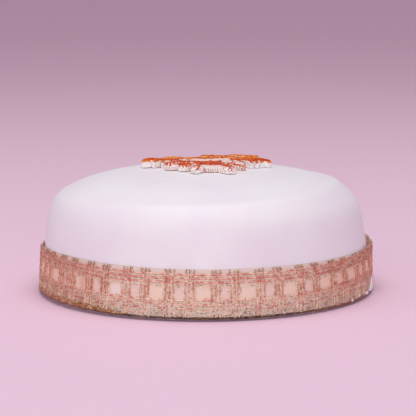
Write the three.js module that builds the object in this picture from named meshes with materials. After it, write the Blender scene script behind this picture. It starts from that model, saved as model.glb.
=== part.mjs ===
// A round Christmas cake under smooth white sugarpaste, with a woven plaid ribbon
// round its foot and a thick snowflake of icing on its crown.
//
// Millimetres, +Z up, front towards -Y. The origin is the centre of the cake's flat
// foot, so the cake stands on z = 0. Angles go round +Z from +X, so the front is 270.

import * as THREE from "three";

// ---------------------------------------------------------------- driving dimensions

// The iced cake: a side that leans in as it rises, a big soft shoulder and a low crown.
const cake = {
  crownHeight: 74.0,
  springHeight: 22.0, // the shoulder curve springs from the side at this height
  footRound: 1.6, // small rounding between the side and the flat foot
  flareTop: 50.0, // the paste thickens towards the foot below this height ...
  flareFull: 8.0, // ... and is thickest at this one
  swellRise: 55, // degrees above level in which the shoulder's swell pushes out
  swellAbove: 50.0,
};

// The two sides are not alike: the paste was smoothed down softer on the -X side.
const softSide = {
  radius: 96.5,
  crownPower: 2.49,
  shoulderPower: 4.51,
  flare: 1.85,
  swell: 0.69,
  swellRadius: 88.4,
  swellWidth: 5.4,
};
const fullSide = {
  radius: 96.3,
  crownPower: 2.55,
  shoulderPower: 5.09,
  flare: 4.5,
  swell: 1.14,
  swellRadius: 80.3,
  swellWidth: 4.7,
};

// The ribbon: one strip round the foot whose ends lap at the back.
const ribbon = {
  width: 28.15,
  rise: 1.9, // its lower edge above the foot
  outerRadius: 102.2,
  thickness: 0.9,
  lapStart: 100, // degrees, where the under end begins
  lapLength: 14, // degrees by which the outer end runs past it
  lapGap: 0.3,
  lapRamp: 9, // degrees over which the outer end climbs onto the under end
  hugAngle: 168, // degrees, where the strip is pulled in closest to the cake
  hugSpread: 40,
  hugFoot: 1.5, // how far it is pulled in at its lower edge there
  hugTop: 2.5, // and at its upper edge
  hitchAngle: 208, // degrees, where the strip has been pulled up a little
  hitchSpread: 30,
  hitch: 1.1,
};

// The snowflake plaque: twelve feathery arms on a small core, cut from a thick sheet.
const snowflake = {
  centreX: 1.2,
  centreY: 4.0, // it lies a little behind the middle of the crown
  underside: 74.3,
  thickness: 4.2,
  droop: 1.0, // how far the sheet has sagged at droopRadius
  droopRadius: 40,
  coreRadius: 9,
  branchAngle: 58, // degrees between a side branch and its arm
  branchHalfWidth: 1.2,
  branchPitch: 4.4,
  firstBranch: 12.5,
  branchClearance: 1.5,
};

// Its arms in turn round the core: direction in degrees and reach from the centre.
// Long and short arms take turns, and no two came out quite alike.
const armTurns = [
  { direction: 5, reach: 39.5 },
  { direction: 28, reach: 36.5 },
  { direction: 58, reach: 39.5 },
  { direction: 86, reach: 31.5 },
  { direction: 115, reach: 22 },
  { direction: 141, reach: 34 },
  { direction: 170, reach: 40.5 },
  { direction: 206, reach: 28.5 },
  { direction: 234, reach: 28 },
  { direction: 261, reach: 30 },
  { direction: 294, reach: 34 },
  { direction: 323, reach: 29.5 },
];
const longArm = { halfWidth: 1.9, tipLength: 11, tipHalfWidth: 4.5 };
const shortArm = { halfWidth: 1.6, tipLength: 8.5, tipHalfWidth: 3.4 };

// How finely the curved faces are cut into flats.
const facets = { cakeRound: 72, sideRows: 7, crownRows: 15, ribbonRound: 124 };

// -------------------------------------------------------------------------- helpers

const radians = THREE.MathUtils.degToRad;
const smoothStep = THREE.MathUtils.smoothstep;
const mix = THREE.MathUtils.lerp;

// A bell of height 1 at 0 that falls to 1/e at a distance of 1.
const bell = (x) => Math.exp(-x * x);

// A matt or glossy coloured finish for one piece.
function finish(color, roughness, metalness) {
  return new THREE.MeshStandardMaterial({ color, roughness, metalness });
}

// Moves every vertex of a geometry to the place that a function of it gives.
function mould(geometry, place) {
  const position = geometry.getAttribute("position");
  const point = new THREE.Vector3();
  for (let i = 0; i < position.count; i += 1) {
    point.fromBufferAttribute(position, i);
    place(point, i);
    position.setXYZ(i, point.x, point.y, point.z);
  }
  geometry.computeVertexNormals();
  return geometry;
}

// ------------------------------------------------------------------------- iced cake

// The shape of the side at an angle: a blend from the soft side to the full one.
function sideShape(angle) {
  const fullness = (1 + Math.cos(angle)) / 2;
  const shape = {};
  for (const key of Object.keys(softSide)) {
    shape[key] = mix(softSide[key], fullSide[key], fullness);
  }
  return shape;
}

// One point of the upper cake: a superellipse quarter from the side (turn 0) to the
// crown (turn 1), with the flare towards the foot and the swell of the shoulder added.
function upperPoint(shape, turn) {
  const a = (turn * Math.PI) / 2;
  const rise = cake.crownHeight - cake.springHeight;
  const z = cake.springHeight + rise * Math.sin(a) ** (2 / shape.shoulderPower);
  const r = shape.radius * Math.max(Math.cos(a), 0) ** (2 / shape.crownPower) + flareAt(shape, z);
  const swell = z > cake.swellAbove ? shape.swell * bell((r - shape.swellRadius) / shape.swellWidth) : 0;
  const push = radians(cake.swellRise);
  return new THREE.Vector2(r + swell * Math.cos(push), z + swell * Math.sin(push));
}

// How much further out than its plain side the cake stands at a height near the foot.
function flareAt(shape, z) {
  return shape.flare * smoothStep(-z, -cake.flareTop, -cake.flareFull);
}

// The cake's half section at an angle, from the middle of the foot up to the crown.
function cakeSection(angle) {
  const shape = sideShape(angle);
  const round = cake.footRound;
  const foot = shape.radius + flareAt(shape, round);
  const points = [new THREE.Vector2(0, 0), new THREE.Vector2(foot - round, 0)];
  points.push(new THREE.Vector2(foot - 0.3 * round, 0.3 * round));
  for (let i = 0; i < facets.sideRows; i += 1) {
    const z = mix(round, cake.springHeight, i / facets.sideRows);
    points.push(new THREE.Vector2(shape.radius + flareAt(shape, z), z));
  }
  for (let i = 0; i <= facets.crownRows; i += 1) {
    points.push(upperPoint(shape, (i / facets.crownRows) ** 1.8));
  }
  points[points.length - 1].x = 0;
  return points;
}

// The cake under its paste: a lathe body whose section changes as it goes round.
function icedCakeGeometry() {
  const rows = cakeSection(0).length;
  const lathe = new THREE.LatheGeometry(cakeSection(0), facets.cakeRound);
  return mould(lathe, (point, i) => {
    const step = Math.floor(i / rows) % facets.cakeRound;
    const angle = (2 * Math.PI * step) / facets.cakeRound;
    const section = cakeSection(angle)[i % rows];
    point.set(section.x * Math.cos(angle), section.x * Math.sin(angle), section.y);
  });
}

// ---------------------------------------------------------------------------- ribbon

// The radius of the ribbon's outer face at an angle and at a share of its width.
function ribbonRadius(degrees, share) {
  const hug = bell((degrees - ribbon.hugAngle) / ribbon.hugSpread);
  return ribbon.outerRadius - hug * mix(ribbon.hugFoot, ribbon.hugTop, share);
}

// The strip: a long flat box bent round the cake, its outer end raised onto the under
// end by one thickness and a hair.
function ribbonGeometry() {
  const strip = new THREE.BoxGeometry(1, 1, 1, 1, facets.ribbonRound, 1);
  const lapEnd = ribbon.lapStart + 360 + ribbon.lapLength;
  const rampEnd = ribbon.lapStart + 360;
  return mould(strip, (point) => {
    const degrees = mix(ribbon.lapStart, lapEnd, point.y + 0.5);
    const share = point.z + 0.5;
    const climb = smoothStep(degrees, rampEnd - ribbon.lapRamp, rampEnd);
    const lift = climb * (ribbon.thickness + ribbon.lapGap);
    const inset = (0.5 - point.x) * ribbon.thickness;
    const r = ribbonRadius(degrees % 360, share) + lift - inset;
    const angle = radians(degrees);
    const hitch = ribbon.hitch * bell(((degrees % 360) - ribbon.hitchAngle) / ribbon.hitchSpread);
    const z = ribbon.rise + hitch + share * ribbon.width;
    point.set(r * Math.cos(angle), r * Math.sin(angle), z);
  });
}

// ------------------------------------------------------------------- snowflake topper

// How far a side branch may reach before it meets the line halfway to the next arm.
function branchLength(station, halfGap) {
  const b = radians(snowflake.branchAngle);
  const slope = Math.tan(halfGap);
  return (station * slope) / (Math.sin(b) - slope * Math.cos(b)) - snowflake.branchClearance;
}

// One edge of an arm from the core outwards, as [along the arm, out from its middle].
function armEdge(arm, style, halfGap) {
  const b = radians(snowflake.branchAngle);
  const half = snowflake.branchHalfWidth;
  const along = new THREE.Vector2(Math.cos(b), Math.sin(b));
  const across = new THREE.Vector2(-Math.sin(b), Math.cos(b));
  const lastStation = arm.reach - style.tipLength - 1;
  const edge = [];
  for (let s = snowflake.firstBranch; s < lastStation; s += snowflake.branchPitch) {
    const length = Math.min(branchLength(s, halfGap), 0.75 * (arm.reach - s) - 1);
    const middle = new THREE.Vector2(s, 0).addScaledVector(along, length);
    const inner = (style.halfWidth - half * Math.cos(b)) / Math.sin(b);
    const outer = (style.halfWidth + half * Math.cos(b)) / Math.sin(b);
    edge.push([s + inner * along.x - half * Math.sin(b), style.halfWidth]);
    edge.push([middle.x + half * across.x, middle.y + half * across.y]);
    edge.push([middle.x + half * along.x, middle.y + half * along.y]);
    edge.push([middle.x - half * across.x, middle.y - half * across.y]);
    edge.push([s + outer * along.x + half * Math.sin(b), style.halfWidth]);
  }
  edge.push([arm.reach - style.tipLength, style.halfWidth]);
  edge.push([arm.reach - 0.55 * style.tipLength, style.tipHalfWidth]);
  edge.push([arm.reach - 0.12 * style.tipLength, 0.3 * style.tipHalfWidth]);
  return edge;
}

// The whole outline, anticlockwise: up one edge of each arm, round its tip, down the
// other edge, and into the valley before the next arm.
function snowflakeOutline() {
  const outline = [];
  const count = armTurns.length;
  const place = (arm, [s, t]) => {
    const angle = radians(arm.direction);
    const x = s * Math.cos(angle) - t * Math.sin(angle);
    const y = s * Math.sin(angle) + t * Math.cos(angle);
    outline.push(new THREE.Vector2(x, y));
  };
  armTurns.forEach((arm, k) => {
    const before = armTurns[(k + count - 1) % count];
    const after = armTurns[(k + 1) % count];
    const gapBefore = radians((arm.direction - before.direction + 360) % 360) / 2;
    const gapAfter = radians((after.direction - arm.direction + 360) % 360) / 2;
    const style = k % 2 === 0 ? longArm : shortArm;
    for (const [s, t] of armEdge(arm, style, gapBefore)) {
      place(arm, [s, -t]);
    }
    place(arm, [arm.reach, 0]);
    for (const point of armEdge(arm, style, gapAfter).reverse()) {
      place(arm, point);
    }
    const core = snowflake.coreRadius;
    place(arm, [core * Math.cos(gapAfter), core * Math.sin(gapAfter)]);
  });
  return outline;
}

// The plaque: the outline cut from a flat sheet that has sagged onto the crown.
function snowflakeGeometry() {
  const shape = new THREE.Shape(snowflakeOutline());
  const depth = snowflake.thickness;
  const sheet = new THREE.ExtrudeGeometry(shape, { depth, bevelEnabled: false });
  return mould(sheet, (point) => {
    const share = Math.hypot(point.x, point.y) / snowflake.droopRadius;
    point.x += snowflake.centreX;
    point.y += snowflake.centreY;
    point.z += snowflake.underside - snowflake.droop * share * share;
  });
}

// -------------------------------------------------------------------------- assembly

function piece(name, geometry, material) {
  const mesh = new THREE.Mesh(geometry, material);
  mesh.name = name;
  return mesh;
}

const christmasCake = new THREE.Group();
christmasCake.add(piece("iced_cake", icedCakeGeometry(), finish(0xece4ec, 0.5, 0)));
christmasCake.add(piece("ribbon", ribbonGeometry(), finish(0xcf9f88, 0.45, 0.3)));
christmasCake.add(piece("snowflake_topper", snowflakeGeometry(), finish(0xc4643a, 0.55, 0.2)));

export default christmasCake;
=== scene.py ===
"""A round Christmas cake: white sugarpaste, a woven plaid ribbon round its foot, and a
thick snowflake of icing, dusted with copper lustre, on its crown.

Shapes are worked out in millimetres, +Z up and the front towards -Y, and turned into
metres as they become meshes. Angles go round +Z from +X, so the front is at 270.
"""

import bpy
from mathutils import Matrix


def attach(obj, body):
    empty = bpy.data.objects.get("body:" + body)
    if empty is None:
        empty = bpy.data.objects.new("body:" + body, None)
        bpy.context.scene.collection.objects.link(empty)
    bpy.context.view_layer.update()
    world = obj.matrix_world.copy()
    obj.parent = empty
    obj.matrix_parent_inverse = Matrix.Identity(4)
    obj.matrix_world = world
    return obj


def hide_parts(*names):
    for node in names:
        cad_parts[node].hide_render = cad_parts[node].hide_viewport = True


bl_info = {
    "name": "Christmas cake",
    "version": (1, 0, 0),
    "blender": (4, 5, 0),
    "location": "3D View > Sidebar > Christmas cake",
    "description": "An iced Christmas cake with a plaid ribbon and a dusted snowflake",
    "category": "Add Mesh",
}

import math
from types import SimpleNamespace

import bmesh
import bpy
import numpy as np
from bpy.props import FloatProperty, FloatVectorProperty, IntProperty, PointerProperty
from mathutils import Matrix, Vector

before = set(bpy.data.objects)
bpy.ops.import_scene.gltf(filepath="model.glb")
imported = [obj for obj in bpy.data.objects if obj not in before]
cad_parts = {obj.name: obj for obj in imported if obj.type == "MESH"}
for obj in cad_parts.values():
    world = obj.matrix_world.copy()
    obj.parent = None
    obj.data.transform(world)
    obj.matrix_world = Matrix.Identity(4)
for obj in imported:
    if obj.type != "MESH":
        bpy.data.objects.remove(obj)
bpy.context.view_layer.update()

MM = 0.001
TURN = 2.0 * math.pi

# The cake's heights, in millimetres: its crown, and where the shoulder's curve begins.
CROWN = 74.0
SPRING = 22.0

# The camera, in metres and radians: it looks a little down, and is hardly rolled.
CAMERA_PLACE = (0.002122, -1.100, 0.21524)
CAMERA_DOWN = 0.150
CAMERA_ROLL = -0.003


# ------------------------------------------------------------------------- settings


def tone(red, green, blue):
    """The linear colour, with alpha, of a display colour given from 0 to 255: each
    channel is ((c / 255 + 0.055) / 1.055) to the power 2.4, or c / 255 / 12.92 if dark."""
    values = [channel / 255.0 for channel in (red, green, blue)]
    linear = [c / 12.92 if c < 0.04045 else ((c + 0.055) / 1.055) ** 2.4 for c in values]
    return (*linear, 1.0)


def length(name, description, millimetres):
    """A setting in metres, given in millimetres."""
    return FloatProperty(
        name=name, description=description, default=millimetres * MM, unit="LENGTH", precision=5
    )


def angle(name, description, degrees):
    """A setting in radians, given in degrees."""
    return FloatProperty(
        name=name, description=description, default=math.radians(degrees), unit="ROTATION"
    )


def colour(name, description, red, green, blue):
    """A colour setting, given as a display colour from 0 to 255."""
    return FloatVectorProperty(
        name=name,
        description=description,
        default=tone(red, green, blue),
        size=4,
        min=0.0,
        max=1.0,
        subtype="COLOR",
    )


def power(name, description, watts):
    """A light's power in watts."""
    return FloatProperty(name=name, description=description, default=watts, unit="POWER")


class CakeSettings(bpy.types.PropertyGroup):
    """The cake under its sugarpaste"""

    crown_height: length("Crown height", "Height of the cake's crown above its foot", CROWN)
    spring_height: length("Spring height", "Height at which the shoulder curve begins", SPRING)
    unevenness: length("Unevenness", "How far the smoothed paste wanders in and out", 0.3)
    icing: colour("Icing", "The sugarpaste", 247, 244, 246)
    icing_shade: colour("Icing, thin", "The sugarpaste where it is thinner", 244, 238, 243)


class RibbonSettings(bpy.types.PropertyGroup):
    """The ribbon, its weave and its colours"""

    radius: length("Radius", "Radius of the ribbon's outer face", 102.2)
    width: length("Width", "Width of the ribbon", 28.15)
    rise: length("Rise", "Height of its lower edge above the cake's foot", 1.9)
    repeat: angle("Repeat", "Angle from one wide window to the next", 14.52)
    first_window: angle("First window", "Angle of the middle of the front window", 269.47)
    group_offset: angle("Group offset", "Angle from a window's middle to its cross threads", 4.105)
    thread_spacing: length("Thread spacing", "Distance between neighbouring threads", 2.25)
    thread_radius: length("Thread radius", "Radius of the wrapped threads", 0.4)
    flakes: IntProperty(name="Flakes", description="Glitter flakes on the ribbon", default=20000)
    window: colour("Window", "The sheer cloth in the windows", 246, 222, 198)
    border: colour("Border", "The sheer cloth at the upper edge", 252, 234, 224)
    infill: colour("Infill", "The gold threads between the lines", 252, 230, 202)
    margin: colour("Margin", "The dense gold at the lower edge", 252, 238, 220)
    rose: colour("Rose", "The lengthwise threads", 234, 138, 132)
    copper: colour("Copper", "The cross threads", 222, 150, 124)
    # The edge threads' brown is partly painted shadow: made darker to stand in for the contact
    # shadow under the ribbon. The cross threads' tips take it too.
    brown: colour("Brown", "The edge threads", 96, 66, 48)


class SnowflakeSettings(bpy.types.PropertyGroup):
    """The snowflake and its dust"""

    cell: length("Cell", "Size of the cells from which its surface is built", 0.37)
    groove: length("Groove", "Depth of the veins pressed into it", 0.55)
    sugar: colour("Sugar", "The bare icing of its walls", 252, 247, 245)
    # The stain is partly dust caught in the corners and partly painted shade in the recesses of
    # the walls.
    corner_stain_and_shade: colour("Stain", "Dust caught in the corners", 214, 132, 84)
    copper: colour("Copper dust", "The lustre dust on its top", 231, 113, 40)
    dark: colour("Dark dust", "Where the dust lies thick", 198, 64, 8)
    # The gold is a painted highlight: light glancing off the lustre along the back rims.
    gold: colour("Gold dust", "Where the dust is rubbed along the rims", 255, 200, 112)


class StageSettings(bpy.types.PropertyGroup):
    """The floor, the lights and the camera"""

    floor: colour("Floor", "The plain floor", 246, 214, 230)
    surround: colour("Surround", "The light from all around", 255, 233, 251)
    surround_strength: FloatProperty(
        name="Surround strength", description="Brightness of the surround", default=0.43
    )
    overhead_power: power("Overhead power", "The wide soft light above", 11.3)
    front_power: power("Front power", "The low soft light in front", 7.0)
    side_power: power("Side power", "The soft light on the left", 2.3)
    lamp: colour("Lamp", "The colour of the lights", 247, 255, 253)
    lens: FloatProperty(name="Lens", description="Focal length, in mm", default=157.58)


# --------------------------------------------------------------------- mesh helpers


def grid_quads(rows, columns):
    """Faces between neighbouring points of a grid that is stored row by row, each row a
    closed ring: the corners of face (i, j) are (i, j), (i, j + 1), (i + 1, j + 1) and
    (i + 1, j)."""
    i = np.arange(rows - 1)[:, None] * columns
    j = np.arange(columns)[None, :]
    after = (j + 1) % columns
    corners = [i + j, i + after, i + columns + after, i + columns + j]
    return np.stack(np.broadcast_arrays(*corners), -1).reshape(-1, 4)


def end_fans(rows, columns):
    """The triangles that close such a grid at both ends: a fan from the first ring to the
    point stored next after the grid, and one from the last ring to the point after that."""
    j = np.arange(columns)
    after = (j + 1) % columns
    last = (rows - 1) * columns
    hub = np.full(columns, rows * columns)
    start = np.stack([hub, after, j], -1)
    return np.concatenate([start, np.stack([hub + 1, last + j, last + after], -1)])


def together(parts):
    """Several surfaces, each of points, quads and tris, as one: the faces of each are
    counted on from the points before it."""
    points, quads, tris = zip(*parts)
    first = np.cumsum([0] + [len(part) for part in points])
    quads = [faces + start for faces, start in zip(quads, first)]
    tris = [faces + start for faces, start in zip(tris, first)]
    return np.concatenate(points), np.concatenate(quads), np.concatenate(tris)


def put_piece(name, points, quads, tris, material, uv=None, tint=None):
    """Makes a smooth mesh object at the origin from points in millimetres. Either kind of
    face may be None. uv has one pair for each face corner, and tint one colour for each
    point."""
    quads = np.zeros((0, 4), int) if quads is None else quads
    tris = np.zeros((0, 3), int) if tris is None else tris
    corners = np.concatenate([quads.ravel(), tris.ravel()]).astype(np.int32)
    starts = [np.arange(len(quads)) * 4, len(quads) * 4 + np.arange(len(tris)) * 3]
    mesh = bpy.data.meshes.new(name)
    mesh.vertices.add(len(points))
    mesh.vertices.foreach_set("co", (points * MM).astype(np.float32).ravel())
    mesh.loops.add(len(corners))
    mesh.loops.foreach_set("vertex_index", corners)
    mesh.polygons.add(len(quads) + len(tris))
    mesh.polygons.foreach_set("loop_start", np.concatenate(starts).astype(np.int32))
    mesh.update(calc_edges=True)
    if mesh.validate():
        raise RuntimeError(f"{name} has faces that don't close")
    if uv is not None:
        layer = mesh.uv_layers.new(name="UVMap")
        layer.data.foreach_set("uv", uv.astype(np.float32).ravel())
    if tint is not None:
        put_tint(mesh, tint)
    return put_mesh(name, mesh, material)


def put_tint(mesh, tint):
    """Gives each point of a mesh its colour in the attribute that materials read."""
    attribute = mesh.color_attributes.new(name="tint", type="FLOAT_COLOR", domain="POINT")
    attribute.data.foreach_set("color", tint.astype(np.float32).ravel())


def put_mesh(name, mesh, material):
    """Gives a finished mesh its object, its material and its body."""
    mesh.polygons.foreach_set("use_smooth", np.ones(len(mesh.polygons), bool))
    mesh.materials.clear()
    mesh.materials.append(material)
    piece = bpy.data.objects.new(name, mesh)
    bpy.context.scene.collection.objects.link(piece)
    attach(piece, "root")
    return piece


def smooth_step(x, low, high):
    """0 below low, 1 above high, and 3 t squared less 2 t cubed between them."""
    t = np.clip((x - low) / (high - low), 0.0, 1.0)
    return t * t * (3.0 - 2.0 * t)


def smooth_fall(x, low, high):
    """The same step turned round: 1 below low and 0 above high."""
    return smooth_step(-x, -high, -low)


def bell(x):
    """A bell of height 1 at 0: e to the power of minus x squared."""
    return np.exp(-x * x)


def slow_waves(first, second, seed, waves=9, most=6):
    """The mean of a few sines of whole numbers of turns in both arguments, which are
    angles, with turns and phases drawn from the seed; it stays between -1 and 1."""
    draw = np.random.default_rng(seed)
    shape = (waves,) + (1,) * np.broadcast(first, second).ndim
    turns = draw.integers(-most, most + 1, shape)
    more = draw.integers(1, most + 1, shape)
    phase = draw.uniform(0.0, TURN, shape)
    return np.sin(turns * first + more * second + phase).mean(0)


# ------------------------------------------------------------------------ iced cake

# The two sides are not alike: the paste was smoothed down softer on the -X side.
SOFT_SIDE = {
    "radius": 96.5,
    "crown_power": 2.49,
    "shoulder_power": 4.51,
    "flare": 1.85,
    "swell": 0.69,
    "swell_radius": 88.4,
    "swell_width": 5.4,
}
FULL_SIDE = {
    "radius": 96.3,
    "crown_power": 2.55,
    "shoulder_power": 5.09,
    "flare": 4.5,
    "swell": 1.14,
    "swell_radius": 80.3,
    "swell_width": 4.7,
}
FOOT_ROUND = 1.6  # the radius of its rounded foot
FLARE_TOP = 50.0  # the flare grows from none at this height
FLARE_FULL = 8.0  # to its full amount at this one
SWELL_RISE = math.radians(55.0)  # the slope at which the swell is pushed out
SWELL_START = 42.0  # the swell grows from none at this height
SWELL_FULL = 56.0  # to its full amount at this one


def side_shape(theta):
    """Each value of the side at an angle: the soft side's, plus (1 + cos theta) / 2 of
    the way to the full side's."""
    share = (1.0 + np.cos(theta)) / 2.0
    return {key: low + (FULL_SIDE[key] - low) * share for key, low in SOFT_SIDE.items()}


def flare_at(shape, z):
    """How much further out than its plain side the cake stands at a height: a smooth
    fall, times the flare."""
    return shape["flare"] * smooth_fall(z, FLARE_FULL, FLARE_TOP)


def side_radius(theta, z):
    """The radius of the cake's side at an angle and a height, by the formula of the upper
    part turned round: sin(a) is the share of the rise to the power shoulder power / 2."""
    shape = side_shape(theta)
    share = np.clip((z - SPRING) / (CROWN - SPRING), 0.0, 1.0)
    a = np.arcsin(share ** (shape["shoulder_power"] / 2.0))
    return shape["radius"] * np.cos(a) ** (2.0 / shape["crown_power"]) + flare_at(shape, z)


def iced_cake_surface(settings, rows=150, columns=360):
    """The half section carried round the axis. With a from 0 to a quarter turn, the upper
    part has z = spring + rise * sin(a) ^ (2 / shoulder power) and r = radius * cos(a) ^
    (2 / crown power) + flare, plus a bell-shaped swell of the shoulder, pushed out at 55
    degrees. Below the spring it is the plain side, rounded at the foot. Slow waves of
    a fraction of a millimetre are added: outwards, and on the crown more and more
    upwards. They fade out at the foot, in the middle of the crown and at the two flanks,
    whose outline is set."""
    theta = (np.arange(columns) / columns * TURN)[None, :]
    shape = side_shape(theta)
    spring = settings.spring_height / MM
    rise = settings.crown_height / MM - spring

    a = (np.linspace(0.0, 1.0, rows)[:-1, None] ** 2.0) * math.pi / 2.0
    z = spring + rise * np.sin(a) ** (2.0 / shape["shoulder_power"])
    r = shape["radius"] * np.cos(a) ** (2.0 / shape["crown_power"]) + flare_at(shape, z)
    swell = shape["swell"] * bell((r - shape["swell_radius"]) / shape["swell_width"])
    swell = swell * smooth_step(z, SWELL_START, SWELL_FULL)
    r = r + swell * math.cos(SWELL_RISE)
    z = z + swell * math.sin(SWELL_RISE)

    side = np.linspace(FOOT_ROUND, spring, 16)[:-1, None] + 0.0 * theta
    turn = np.linspace(0.0, math.pi / 2.0, 5)[:-1, None]
    foot = shape["radius"] + flare_at(shape, FOOT_ROUND)
    round_r = foot - FOOT_ROUND * (1.0 - np.sin(turn))
    round_z = FOOT_ROUND * (1.0 - np.cos(turn)) + 0.0 * theta
    sole_r = foot * np.linspace(0.2, 0.9, 4)[:, None]
    r = np.concatenate([sole_r, round_r, shape["radius"] + flare_at(shape, side), r])
    z = np.concatenate([0.0 * sole_r, round_z, side, z])

    height = z / CROWN
    wander = slow_waves(theta, height * 2.4, seed=5) * smooth_step(z, 26.0, 40.0)
    wander = wander * (0.25 + 0.75 * np.sin(theta) ** 2) * smooth_step(r, 30.0, 60.0)
    ease = smooth_step(height, 0.6, 1.0)
    amount = settings.unevenness / MM * 2.4
    r = r + amount * wander * (1.0 - 0.6 * ease)
    z = z + amount * wander * 0.6 * ease

    rings = np.stack([r * np.cos(theta), r * np.sin(theta), z], -1).reshape(-1, 3)
    crown = np.array([[0.0, 0.0, settings.crown_height / MM]])
    points = np.concatenate([rings, np.zeros((1, 3)), crown])
    return points, grid_quads(len(r), columns), end_fans(len(r), columns)


# --------------------------------------------------------------------------- ribbon

LAP_START = 100.0  # degrees, where the under end begins
LAP_END = 474.0  # where the outer end finishes, past the under one
LAP_STEP = {"low": 451.0, "high": 460.0, "height": 1.2}  # the outer end's step onto it
# It hugs the cake on the left, is hitched up on the front left and tucked in at the back
# left: bells in degrees, with millimetres inwards, upwards and downwards.
HUG = {"middle": 168.0, "spread": 40.0, "foot": 1.5, "top": 2.5}
HITCH = {"middle": 208.0, "spread": 30.0, "height": 1.1}
TUCK = {"middle": 163.0, "spread": 19.0, "top": 1.6, "drop": 3.4}
# Along the front its upper edge dips, a little more at the sides and, by a bell, at the
# right end. Up to a little short of both ends it is also brought in to the icing, but for
# a small clearance.
FRONT = {"low": 173.0, "high": 369.0, "run": 16.0}
DIP = {"depth": 1.1, "left": 0.5, "right": 0.3, "end": 1.0, "middle": 356.0, "spread": 12.0}
SNUG = {"low": 181.0, "high": 359.0, "run": 16.0, "clear": 0.75}
FIRST_ANGLE = 60.0  # angles round the front are counted from here, so none of this jumps
# Towards the sides its rows are drawn up by these amounts, in millimetres, which grow or
# fade between these angles. The lower rows on the right start a little earlier.
DRAWN = {"lower_left": 0.5, "lower_right": 2.5, "upper_left": 0.9, "upper_right": 2.0}
LEFT_SIDE = (200.0, 218.0)
RIGHT_SIDE = (296.0, 350.0)
RIGHT_SIDE_LOW = (285.0, 335.0)
LOWER_ROWS = (3.0, 10.0)  # the lower rows are drawn up fully above the second height
UPPER_ROWS = (14.0, 22.0)  # and give way to the upper ones between these
UPPER_EDGE = (24.6, 28.15)  # which give way to the edge between these

CLOTH_FACE = -0.32  # how far the cloth lies inside the face that the threads make
CLOTH_THICKNESS = 0.25
# The inner face is told apart by its u, so that it can be painted a warmer peach: painted light
# for what comes through the sheer cloth.
INNER_U = 100.0  # what the inner face has more in u: whole windows, and easily told

# Heights of the lengthwise threads above the strip's lower edge, in millimetres.
ROSE_ROWS = [24.4, 22.2, 20.0]
FAINT_ROWS = [10.05, 7.6, 5.45]
GOLD_ROWS = [23.3, 21.1, 18.9, 18.1, 8.8, 6.5, 4.6, 3.9, 3.2, 2.5, 1.8, 1.1]
# The edge threads' dark brown is partly a painted shadow, for the contact shadow under the
# ribbon's lower edge.
EDGE_ROWS = [0.3, -0.3]
# The worn rows on the left: the height of each, and the angle at which it stops.
WORN_ROWS = np.array([(0.5, 244.0), (1.2, 240.0), (1.9, 237.0), (2.6, 231.0)])
# Where the gold threads stand beside the middle of each group of cross threads.
INFILL_PLACES = np.array([-3.15, -1.75, -0.6, 0.6, 1.75, 3.15])


def band_point(settings, degrees, height, out):
    """A place on the strip: degrees along it, height above its lower edge, and how far it
    stands out from the outer face. The height is drawn up by a bell round 208 degrees. The
    rows of threads are drawn up by smooth steps towards both sides. The upper edge is
    drawn down by others along the front, by a bell at the right end, and by the tuck's
    bell at the back left. The radius is the ribbon's, less a bell round 168 degrees where
    it hugs the cake, less the tuck, plus a step onto the under end at the lap. Along the
    front, between smooth steps of its own, it loses what is more than the clearance from
    the cake, times the share of the width to the power 1.5."""
    around = (degrees - FIRST_ANGLE) % 360.0 + FIRST_ANGLE
    theta = np.radians(degrees)
    share = np.clip(height / (settings.width / MM), 0.0, 1.0)
    front = smooth_step(around, FRONT["low"], FRONT["low"] + FRONT["run"])
    front = front * smooth_fall(around, FRONT["high"] - FRONT["run"], FRONT["high"])
    snug = smooth_step(around, SNUG["low"], SNUG["low"] + SNUG["run"])
    snug = snug * smooth_fall(around, SNUG["high"] - SNUG["run"], SNUG["high"])
    left = front * smooth_fall(around, *LEFT_SIDE)
    right = front * smooth_step(around, *RIGHT_SIDE)
    right_low = front * smooth_step(around, *RIGHT_SIDE_LOW)
    upper = smooth_step(height, *UPPER_ROWS)
    edge = smooth_step(height, *UPPER_EDGE)
    lower = smooth_step(height, *LOWER_ROWS) * (1.0 - upper)
    drawn = (DRAWN["lower_right"] * right_low + DRAWN["lower_left"] * left) * lower
    high_rows = upper * (1.0 - edge)
    drawn = drawn + (DRAWN["upper_right"] * right + DRAWN["upper_left"] * left) * high_rows
    dip = DIP["depth"] * front + DIP["left"] * left + DIP["right"] * right
    dip = dip + DIP["end"] * bell((around - DIP["middle"]) / DIP["spread"])
    drawn = drawn - dip * edge
    hitch = HITCH["height"] * bell((around - HITCH["middle"]) / HITCH["spread"])
    tuck = bell((around - TUCK["middle"]) / TUCK["spread"]) * share**1.5
    z = settings.rise / MM + height + hitch + drawn - TUCK["drop"] * tuck

    hug = bell((around - HUG["middle"]) / HUG["spread"])
    lap = LAP_STEP["height"] * smooth_step(degrees, LAP_STEP["low"], LAP_STEP["high"])
    r = settings.radius / MM - hug * (HUG["foot"] + (HUG["top"] - HUG["foot"]) * share)
    r = r - TUCK["top"] * tuck + lap
    away = np.maximum(r - side_radius(theta, z) - SNUG["clear"], 0.0)
    r = r - snug * share**1.5 * away + out
    return np.stack(np.broadcast_arrays(r * np.cos(theta), r * np.sin(theta), z), -1)


def drawn_out(degrees):
    """How many degrees the weave is drawn out towards the left: half a degree by a step
    just left of the front, and 1.6 more by a longer one round the left side."""
    return 0.5 * smooth_fall(degrees, 252.0, 268.0) + 1.6 * smooth_fall(degrees, 190.0, 250.0)


def degrees_of(settings, millimetres):
    """The angle that a distance along the ribbon's outer face takes up."""
    return np.degrees(np.asarray(millimetres) * MM / settings.radius)


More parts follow.
